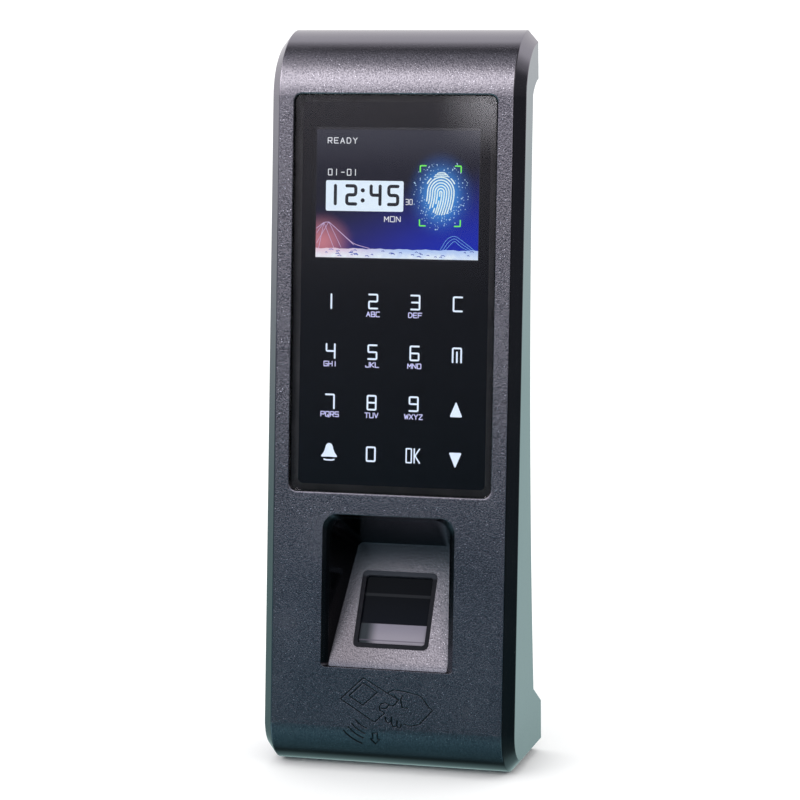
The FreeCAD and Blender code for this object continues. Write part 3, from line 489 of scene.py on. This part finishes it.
# Finishes made by moulded(), by slot.
PLAIN = {
    "rear_plastic": {"colour": (0.020, 0.021, 0.023), "roughness": 0.52, "grain": 1800.0,
                     "depth": 0.05},
    "black_tape": {"colour": (0.008, 0.008, 0.009), "roughness": 0.7, "depth": 0.02},
    "lcd_glass": {"colour": (0.012, 0.014, 0.020), "roughness": 0.12, "depth": 0.002},
    "light_plastic": {"colour": (0.75, 0.76, 0.78), "roughness": 0.4},
    "amber_film": {"colour": (0.45, 0.20, 0.04), "roughness": 0.28, "grain": 900.0},
    "milk_plastic": {"colour": (0.72, 0.74, 0.76), "roughness": 0.35, "Subsurface_Weight": 0.2,
                     "Subsurface_Scale": 0.001},
    "led_white": {"colour": (0.85, 0.84, 0.70), "roughness": 0.3, "Subsurface_Weight": 0.3,
                  "Subsurface_Scale": 0.0005},
    "zinc_screw": {"colour": (0.55, 0.55, 0.56), "roughness": 0.30, "metallic": 1.0,
                   "grain": 2600.0, "depth": 0.010},
    "chip_epoxy": {"colour": (0.016, 0.016, 0.018), "roughness": 0.6, "grain": 3000.0},
    "tinned_steel": {"colour": (0.62, 0.62, 0.60), "roughness": 0.28, "metallic": 1.0},
    "black_nylon": {"colour": (0.018, 0.018, 0.020), "roughness": 0.5, "grain": 2000.0},
    "cell_steel": {"colour": (0.66, 0.66, 0.65), "roughness": 0.22, "metallic": 1.0},
    "can_aluminium": {"colour": (0.70, 0.71, 0.73), "roughness": 0.26, "metallic": 1.0},
    "jack_steel": {"colour": (0.60, 0.60, 0.60), "roughness": 0.25, "metallic": 1.0},
    "green_nylon": {"colour": (0.02, 0.20, 0.07), "roughness": 0.45, "grain": 1500.0},
    "white_nylon": {"colour": (0.72, 0.70, 0.64), "roughness": 0.45, "grain": 1800.0},
    "copper": {"colour": (0.80, 0.36, 0.20), "roughness": 0.30, "metallic": 1.0},
    "grey_foam": {"colour": (0.10, 0.10, 0.11), "roughness": 0.9, "grain": 1200.0, "depth": 0.2},
}
# Solder mask and track colours of the circuit boards.
BOARDS = {
    "black_board": ((0.010, 0.011, 0.013), (0.03, 0.03, 0.034)),
    "green_board": ((0.010, 0.085, 0.032), (0.030, 0.16, 0.060)),
}
SPECIAL = {
    "casing_paint": casing_paint,
    "zinc_steel": zinc_steel,
    "panel_glass": panel_glass,
    "sensor_glass": sensor_glass,
    "seal_rubber": seal_rubber,
}


def finish_for(slot):
    if slot in SPECIAL:
        return SPECIAL[slot]()
    if slot in BOARDS:
        return board_finish(slot, *BOARDS[slot])
    return moulded(slot, **PLAIN[slot])


def finish_cad_nodes():
    """Give each CAD node's slots their finish, made once for each name."""
    made = {}
    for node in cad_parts.values():
        slots = node.data.materials
        for index, material in enumerate(slots):
            name = material.name.split(".")[0]
            if name not in made:
                made[name] = finish_for(name).material
            slots[index] = made[name]


# Flat pieces behind the glass

def arc(x, v, rx, rv, start, end, count):
    """Points along an ellipse between two angles in degrees."""
    angles = [math.radians(start + (end - start) * k / (count - 1)) for k in range(count)]
    return [(x + rx * math.cos(a), v + rv * math.sin(a)) for a in angles]


def rounded_box(x0, x1, v0, v1, radius, count=6):
    """A rounded rectangle's points, anticlockwise."""
    left, right, low, high = x0 + radius, x1 - radius, v0 + radius, v1 - radius
    points = []
    for x, v, start in ((right, low, -90), (right, high, 0), (left, high, 90), (left, low, 180)):
        points += arc(x, v, radius, radius, start, start + 90, count)
    return points


def softened(points, radius, count=4):
    """A line whose corners are rounded off."""
    result = [points[0]]
    for before, corner, after in zip(points, points[1:], points[2:]):
        here = Vector(corner)
        to_before, to_after = Vector(before) - here, Vector(after) - here
        cut = min(radius, to_before.length * 0.45, to_after.length * 0.45)
        start = here + to_before.normalized() * cut
        end = here + to_after.normalized() * cut
        for k in range(count + 1):
            t = k / count
            point = start * (1 - t) ** 2 + here * 2 * t * (1 - t) + end * t ** 2
            result.append((point.x, point.y))
    return result + [points[-1]]


def softened_loop(corners, radius):
    """A closed outline with rounded corners, from the middle of its first side."""
    middle = tuple((Vector(corners[0]) + Vector(corners[1])) / 2)
    return softened([middle] + corners[1:] + [corners[0], middle], radius)[:-1]


class Drawing:
    """Flat shapes in one plane, built as one thin solid piece."""

    def __init__(self, plane):
        self.plane = plane
        self.points = []
        self.faces = []

    def polygon(self, points):
        first = len(self.points)
        self.points += points
        self.faces.append(list(range(first, first + len(points))))

    def ring(self, outer, inner):
        """A band between two loops of equal count, both anticlockwise."""
        first, count = len(self.points), len(outer)
        self.points += outer + inner
        for k in range(count):
            after = (k + 1) % count
            self.faces.append([first + k, first + after, first + count + after,
                               first + count + k])

    def stroke(self, points, width, closed=False):
        """A line of even width, with round ends unless it is closed."""
        line = [Vector(p) for p in points]
        count = len(line)
        spans = count if closed else count - 1
        normals = []
        for k in range(spans):
            along = (line[(k + 1) % count] - line[k]).normalized()
            normals.append(Vector((-along.y, along.x)))
        left, right = [], []
        for k in range(count):
            after = normals[k % spans]
            before = normals[(k - 1) % spans] if closed or k > 0 else after
            after = before if not closed and k == count - 1 else after
            corner = (before + after) / max(0.35, 1 + before.dot(after))
            left.append(tuple(line[k] + corner * width / 2))
            right.append(tuple(line[k] - corner * width / 2))
        if closed:
            area = sum(a[0] * b[1] - b[0] * a[1] for a, b in zip(left, left[1:] + left[:1]))
            if area > 0:
                self.ring(right, left)
            else:
                self.ring(left[::-1], right[::-1])
            return
        first = len(self.points)
        self.points += left + right
        for k in range(count - 1):
            self.faces.append([first + k, first + count + k, first + count + k + 1, first + k + 1])
        self.cap(first, first + count, line[0], left[0])
        self.cap(first + 2 * count - 1, first + count - 1, line[-1], right[-1])

    def cap(self, start, end, centre, from_point):
        """A half-round end between two points that are already in the list."""
        arm = Vector(from_point) - centre
        first = len(self.points)
        steps = 5
        for k in range(1, steps):
            turn = Matrix.Rotation(math.pi * k / steps, 2)
            self.points.append(tuple(centre + turn @ arm))
        self.faces.append([start] + list(range(first, first + steps - 1)) + [end])

    def build(self, name, layer, finish):
        """Close the shapes into a solid between the layer's two depths."""
        count = len(self.points)
        vertices = [self.plane.at(x, v, d) for d in layer for x, v in self.points]
        faces = list(self.faces)
        faces += [[count + k for k in reversed(face)] for face in self.faces]
        edges = {(a, b) for face in self.faces for a, b in zip(face, face[1:] + face[:1])}
        faces += [[b, a, a + count, b + count] for a, b in sorted(edges) if (b, a) not in edges]
        mesh = bpy.data.meshes.new(name)
        mesh.from_pydata(vertices, [], faces)
        mesh.materials.append(finish.material)
        piece = bpy.data.objects.new(name, mesh)
        bpy.context.scene.collection.objects.link(piece)
        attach(piece, BODY)


def lit(name, colour, strength=1.0, spread=0.06):
    """A glowing print or picture element, slightly uneven in brightness."""
    f = Finish(name, Roughness=0.4, Emission_Strength=strength, Specular_IOR_Level=0.1)
    uneven = f.noise(700.0, 2.0)
    glow = f.mix(uneven, rgba(scaled(colour, 1 - spread)), rgba(scaled(colour, 1 + spread)))
    f.set("Emission Color", glow)
    f.set("Base Color", f.mix(0.9, glow, (0, 0, 0, 1)))
    f.set("Normal", f.bump(f.noise(2500.0), 0.004))
    return f


# Strokes of each sign in a unit square. A line that starts with "closed" is a loop.
BOX = [(0, 0), (1, 0), (1, 1), (0, 1)]
SIGNS = {
    "0": (["closed"] + BOX,), "1": ([(0.5, 0), (0.5, 1)],),
    "2": ([(0, 1), (1, 1), (1, 0.5), (0, 0.5), (0, 0), (1, 0)],),
    "3": ([(0, 1), (1, 1), (1, 0), (0, 0)], [(0.1, 0.5), (1, 0.5)]),
    "4": ([(0, 1), (0, 0.5), (1, 0.5)], [(1, 1), (1, 0)]),
    "5": ([(1, 1), (0, 1), (0, 0.5), (1, 0.5), (1, 0), (0, 0)],),
    "6": ([(1, 1), (0, 1), (0, 0), (1, 0), (1, 0.5), (0, 0.5)],),
    "7": ([(0, 1), (1, 1), (1, 0)],), "8": (["closed"] + BOX, [(0, 0.5), (1, 0.5)]),
    "9": ([(0, 0), (1, 0), (1, 1), (0, 1), (0, 0.5), (1, 0.5)],),
    "A": ([(0, 0), (0.5, 1), (1, 0)], [(0.2, 0.35), (0.8, 0.35)]),
    "B": ([(0, 0.5), (0.9, 0.5), (0.9, 1), (0, 1), (0, 0), (1, 0), (1, 0.5), (0.8, 0.5)],),
    "C": ([(1, 1), (0, 1), (0, 0), (1, 0)],),
    "D": (["closed", (0, 0), (0.7, 0), (1, 0.3), (1, 0.7), (0.7, 1), (0, 1)],),
    "E": ([(1, 1), (0, 1), (0, 0), (1, 0)], [(0, 0.5), (0.85, 0.5)]),
    "F": ([(1, 1), (0, 1), (0, 0)], [(0, 0.5), (0.85, 0.5)]),
    "G": ([(1, 1), (0, 1), (0, 0), (1, 0), (1, 0.5), (0.5, 0.5)],),
    "H": ([(0, 0), (0, 1)], [(1, 0), (1, 1)], [(0, 0.5), (1, 0.5)]),
    "I": ([(0.5, 0), (0.5, 1)],), "J": ([(1, 1), (1, 0), (0, 0), (0, 0.3)],),
    "K": ([(0, 0), (0, 1)], [(1, 1), (0.15, 0.5), (1, 0)]),
    "L": ([(0, 1), (0, 0), (1, 0)],), "M": ([(0, 0), (0, 1), (0.5, 0.35), (1, 1), (1, 0)],),
    "N": ([(0, 0), (0, 1), (1, 0), (1, 1)],), "O": (["closed"] + BOX,),
    "P": ([(0, 0), (0, 1), (1, 1), (1, 0.45), (0, 0.45)],),
    "Q": (["closed"] + BOX, [(0.55, 0.35), (1, -0.2)]),
    "R": ([(0, 0), (0, 1), (1, 1), (1, 0.45), (0, 0.45)], [(0.5, 0.45), (1, 0)]),
    "S": ([(1, 1), (0, 1), (0, 0.5), (1, 0.5), (1, 0), (0, 0)],),
    "T": ([(0, 1), (1, 1)], [(0.5, 1), (0.5, 0)]), "U": ([(0, 1), (0, 0), (1, 0), (1, 1)],),
    "V": ([(0, 1), (0.5, 0), (1, 1)],), "W": ([(0, 1), (0.22, 0), (0.5, 0.8), (0.78, 0), (1, 1)],),
    "X": ([(0, 0), (1, 1)], [(0, 1), (1, 0)]),
    "Y": ([(0, 1), (0.5, 0.5), (1, 1)], [(0.5, 0.5), (0.5, 0)]),
    "Z": ([(0, 1), (1, 1), (0, 0), (1, 0)],),
    "menu": ([(0, 0), (0, 1), (1, 1), (1, 0)], [(0.5, 0), (0.5, 0.72)]),
    "-": ([(0.1, 0.5), (0.9, 0.5)],),
}


def draw_sign(drawing, name, x, v, width, height, stroke, soft=0.35):
    """One sign with its lower left corner at x, v, made of strokes."""
    for line in SIGNS[name]:
        closed = line[0] == "closed"
        points = [(x + a * width, v + b * height) for a, b in line[1 if closed else 0:]]
        if closed:
            points = softened_loop(points, soft)
        elif len(points) > 2:
            points = softened(points, soft)
        drawing.stroke(points, stroke, closed)


def draw_word(drawing, word, x, v, width, height, stroke, gap, soft=0.15):
    """A row of signs centred on x."""
    pitch = width + gap
    start = x - (len(word) * pitch - gap) / 2
    for k, letter in enumerate(word):
        draw_sign(drawing, letter, start + k * pitch, v, width, height, stroke, soft)


KEY_X = (-18.7, -6.1, 6.5, 19.1)
KEY_V = (-2.2, -16.8, -31.4, -46.1)
KEYS = ((("1", ""), ("2", "ABC"), ("3", "DEF"), ("C", "")),
        (("4", "GHI"), ("5", "JKL"), ("6", "MNO"), ("menu", "")),
        (("7", "PQRS"), ("8", "TUV"), ("9", "WXYZ"), ("up", "")),
        (("bell", ""), ("0", ""), ("OK", ""), ("down", "")))


def draw_triangle(drawing, x, v, direction):
    """A soft-cornered triangle that points up or down."""
    half, tip = 1.9, 2.25
    corners = [(x - half, v - direction * tip), (x + half, v - direction * tip),
               (x, v + direction * tip)]
    if direction < 0:
        corners.reverse()
    drawing.polygon(softened_loop(corners, 0.5))


def draw_bell(drawing, x, v):
    """A bell with a bar below it."""
    right = [(0.0, -1.35), (2.2, -1.45), (2.45, -1.15), (1.7, -0.2), (1.25, 0.9), (1.0, 1.9),
             (0.55, 2.45)]
    left = [(-a, b) for a, b in right[::-1][:-1]]
    drawing.polygon([(x + a, v + b) for a, b in right + [(0.0, 2.6)] + left])
    drawing.stroke([(x - 1.5, v - 2.15), (x - 0.8, v - 2.32), (x + 0.8, v - 2.32),
                    (x + 1.5, v - 2.15)], 0.42)


def make_key_legends():
    legends = Drawing(FACE)
    letters = Drawing(FACE)
    width, height, stroke = 2.5, 4.0, 0.5
    for row, v in zip(KEYS, KEY_V):
        for (name, under), x in zip(row, KEY_X):
            if name in ("up", "down"):
                draw_triangle(legends, x, v - 0.9, 1 if name == "up" else -1)
            elif name == "bell":
                draw_bell(legends, x, v + 0.2)
            elif name == "OK":
                draw_word(legends, name, x, v - height / 2, 1.55, height, stroke=0.4, gap=0.85)
            else:
                lift = 0.2 if under else 0.0
                draw_sign(legends, name, x - width / 2, v - height / 2 + lift, width, height,
                          stroke)
            if under:
                draw_word(letters, under, x, v - 4.15, 1.05, 1.35, stroke=0.27, gap=0.38)
    legends.build("key_legends", LEGEND_LAYER, lit("legend_light", (0.70, 0.80, 1.0), 1.1))
    letters.build("key_letters", LEGEND_LAYER, lit("letter_light", (0.60, 0.60, 0.95), 1.0))


def make_ink_mask():
    """The black print on the back of the glass, with a window for the display."""
    glass = rounded_box(-28.0, 28.0, -55.25, 55.25, 1.4)
    window = rounded_box(-24.95, 24.95, 10.0, 48.1, 0.3)
    mask = Drawing(FACE)
    mask.ring(glass, window)
    ink = moulded("glass_ink", (0.0022, 0.0030, 0.0046), 0.5, depth=0.002, Specular_IOR_Level=0.0)
    mask.build("glass_ink_mask", INK_LAYER, ink)


# The picture on the display

PRINT_X, PRINT_V = 13.0, 29.3         # the fingerprint's middle


def display_glow():
    """Slate above, deep blue below, a warm patch low on the left and a blue halo by the print."""
    f = Finish("display_glow", Roughness=0.35, Emission_Strength=1.0, Specular_IOR_Level=0.0)
    x = f.across((1, 0, 0))
    v = f.along(FACE, FACE.up)
    upper = f.mix(f.step(v, 34.0, 47.4), (0.003, 0.004, 0.013, 1), (0.026, 0.028, 0.042, 1))
    lower = f.mix(f.step(x, -24.0, 18.0), (0.022, 0.020, 0.17, 1), (0.004, 0.018, 0.40, 1))
    base = f.mix(f.step(f.maths("MULTIPLY_ADD", x, -0.22, v), 8.0, 33.0), lower, upper)

    def glow(centre_x, centre_v, radius, squash):
        """1 at a centre, 0 on an ellipse around it."""
        dx = f.maths("SUBTRACT", x, centre_x)
        dv = f.product(f.maths("SUBTRACT", v, centre_v), squash)
        return f.step(f.length(dx, dv), 0.0, radius, 1.0, 0.0)

    warm = f.product(glow(-22.5, 15.0, 10.5, 1.15), 0.85)
    halo = f.product(glow(PRINT_X, PRINT_V - 0.4, 11.0, 0.82), 0.9)
    core = f.product(glow(PRINT_X, PRINT_V - 0.6, 7.4, 0.74), 0.75)
    picture = f.mix(warm, base, (0.62, 0.22, 0.26, 1))
    picture = f.mix(halo, picture, (0.035, 0.19, 0.72, 1))
    f.set("Emission Color", f.mix(core, picture, (0.07, 0.42, 0.85, 1)))
    f.set("Base Color", (0.002, 0.002, 0.003, 1))
    f.set("Normal", f.bump(f.noise(1800.0), 0.003))
    return f


def make_fingerprint():
    """A loop print: nested arches whose legs sweep down to the left, with flat arches on top."""
    ridges = Drawing(FACE)
    dice = random.Random(5)
    half_width, half_height, ridge = 4.5, 6.35, 0.38
    core_v = PRINT_V + 0.3
    leg_points, leg_step, cap_points = 24, 0.35, 19
    point_count = 2 * leg_points + cap_points

    def inside(x, v):
        oval = math.hypot((x - PRINT_X) / half_width, (v - PRINT_V) / half_height)
        return oval < 1.0 and v < PRINT_V + 4.7

    for k in range(12):
        radius = 0.30 + 0.72 * k
        cap = arc(PRINT_X, core_v, radius, radius * 1.12, 0, 180, cap_points)
        drops = [leg_step * j for j in range(1, leg_points + 1)]
        right = [(PRINT_X + radius, core_v - drop) for drop in reversed(drops)]
        left = [(PRINT_X - radius, core_v - drop) for drop in drops]
        run = []
        gap = dice.uniform(0.2, 1.0)
        for number, (x, v) in enumerate(right + cap + left):
            x -= 0.06 * max(0.0, core_v - v) ** 1.7
            broken = abs(number / point_count - gap) < 0.02
            if inside(x, v) and not broken:
                run.append((x, v))
                continue
            if len(run) > 2:
                ridges.stroke(run, ridge)
            run = []
        if len(run) > 2:
            ridges.stroke(run, ridge)
    for rise, half in ((4.65, 2.3), (5.15, 1.9), (5.6, 1.3)):
        ridges.stroke(arc(PRINT_X + 0.15, PRINT_V + rise, half, 0.4, 165, 15, 9), 0.27)
    ridges.build("display_fingerprint", RIDGE_LAYER,
                 lit("ridge_light", (0.72, 0.93, 0.97), 0.95, spread=0.2))
    dots = Drawing(FACE)
    for _ in range(170):
        angle, out = dice.uniform(0, 2 * math.pi), dice.uniform(1.05, 1.75)
        x = PRINT_X + half_width * out * math.cos(angle) * 1.05
        v = PRINT_V + half_height * out * math.sin(angle) * 0.95
        if 5.0 < x < 22.5 and 18.0 < v < 38.0:
            size = dice.uniform(0.10, 0.22)
            dots.polygon(arc(x, v, size, size, 0, 315, 8))
    dots.build("display_dots", RIDGE_LAYER, lit("dot_light", (0.36, 0.56, 0.98), 0.9, spread=0.4))


def make_brackets():
    """Green corners around the fingerprint. Each arm points inward."""
    brackets = Drawing(FACE)
    arm = 1.7
    for x, across in ((6.8, arm), (18.9, -arm)):
        for v, rise in ((20.0, arm), (37.2, -arm)):
            brackets.stroke(softened([(x + across, v), (x, v), (x, v + rise)], 0.3), 0.38)
    brackets.build("display_brackets", BRACKET_LAYER, lit("bracket_light", (0.16, 0.85, 0.10)))


def make_clock():
    card = Drawing(FACE)
    card.polygon(rounded_box(-21.4, 1.9, 23.9, 32.7, 0.5))
    card.build("display_clock_card", SHAPE_LAYER, lit("card_light", (0.72, 0.84, 0.98), 1.0))
    digits = Drawing(FACE)
    for name, x in (("1", -19.9), ("2", -15.1), ("4", -7.8), ("5", -2.5)):
        draw_sign(digits, name, x, 25.95, 2.7, 5.2, 0.95, 0.8)
    for v in (27.0, 29.9):
        digits.polygon(arc(-10.3, v, 0.62, 0.62, 0, 330, 12))
    digits.build("display_clock_digits", WORD_LAYER, lit("digit_ink", (0.006, 0.008, 0.014), 1.0))
    words = Drawing(FACE)
    draw_word(words, "READY", -16.6, 43.4, 1.15, 1.55, 0.24, 0.75)
    draw_word(words, "01-01", -16.4, 34.2, 1.1, 1.7, 0.24, 0.8)
    draw_word(words, "30", 3.6, 26.0, 0.75, 1.5, 0.2, 0.4)
    draw_word(words, "MON", -1.3, 21.0, 1.25, 1.5, 0.22, 0.5)
    words.build("display_words", WORD_LAYER, lit("word_light", (0.72, 0.74, 0.80)))


def make_lines():
    """Thin lines that fan out from a peak low on the left."""
    lines = Drawing(FACE)
    fans = (((-21.9, 20.5), ((-24.0, 17.5), (-23.4, 13.0), (-18.7, 13.0))),
            ((-20.4, 20.7), ((-24.0, 14.6), (-16.6, 13.4), (-12.8, 14.2))))
    for top, ends in fans:
        for end in ends:
            lines.stroke([top, end], 0.13)
    lines.stroke(softened([(-24.1, 18.8), (-21.9, 20.5), (-20.4, 20.7), (-15.5, 16.6),
                           (-12.8, 14.4), (-8.0, 13.2)], 1.5), 0.17)
    lines.build("display_lines", SHAPE_LAYER, lit("line_light", (0.66, 0.50, 0.80), 0.8))


def make_arch():
    """Three thin blue arches, one inside the other, low on the right."""
    arch = Drawing(FACE)
    for inner in (0.0, 0.75, 1.5):
        arch.stroke(softened([(13.0 + inner, 13.0), (15.0 + inner * 0.8, 16.4 - inner),
                              (17.3, 17.4 - inner), (20.0 - inner * 0.5, 15.6 - inner),
                              (24.0 - inner, 12.6)], 2.5, 7), 0.11)
    arch.build("display_arch", SHAPE_LAYER, lit("arch_light", (0.20, 0.50, 0.90), 0.9))


def band_light():
    """Pale lilac-white, warmer on the left and bluer on the right."""
    f = Finish("band_light", Roughness=0.4, Emission_Strength=1.0, Specular_IOR_Level=0.1)
    x = f.across((1, 0, 0))
    side = f.mix(f.step(x, -23.0, 4.0), (0.78, 0.52, 0.66, 1), (0.34, 0.50, 0.90, 1))
    pale = f.step(f.along(FACE, FACE.up), 13.2, 10.6, 0.15, 0.75)
    streaked = f.maths("MULTIPLY", pale, f.step(f.noise(500.0, 2.0), 0.3, 0.7, 0.75, 1.25))
    f.set("Emission Color", f.mix(streaked, side, (0.84, 0.94, 1.0, 1)))
    f.set("Base Color", (0.004, 0.004, 0.006, 1))
    f.set("Normal", f.bump(f.noise(2500.0), 0.004))
    return f


def make_band():
    """A pale band along the picture's foot, with small dark specks."""
    band = Drawing(FACE)
    steps = 60
    top = []
    for k in range(steps + 1):
        x = LCD_HALF - 2 * LCD_HALF * k / steps
        top.append((x, 13.1 + 0.10 * math.sin(x * 0.9) + 0.07 * math.sin(x * 2.3)))
    band.polygon([(-LCD_HALF, LCD_LOW), (LCD_HALF, LCD_LOW)] + top)
    band.build("display_band", SHAPE_LAYER, band_light())
    specks = Drawing(FACE)
    dice = random.Random(11)
    for _ in range(34):
        x, v = dice.uniform(-22, 22), dice.uniform(10.9, 12.8)
        long = dice.uniform(0.35, 0.80)
        specks.stroke([(x, v), (x + long, v + 0.12), (x + long * 1.5, v - 0.1)], 0.2)
    specks.build("display_specks", WORD_LAYER, lit("speck_ink", (0.055, 0.09, 0.42)))


def make_display():
    picture = Drawing(FACE)
    picture.polygon(rounded_box(-LCD_HALF, LCD_HALF, LCD_LOW, LCD_HIGH, 0.1))
    picture.build("display_picture", PICTURE_LAYER, display_glow())
    make_fingerprint()
    make_brackets()
    make_clock()
    make_lines()
    make_arch()
    make_band()


make_camera()
make_world()
make_light()
make_floor()
finish_cad_nodes()
make_ink_mask()
make_key_legends()
make_display()

bpy.context.scene.view_settings.view_transform = "Standard"
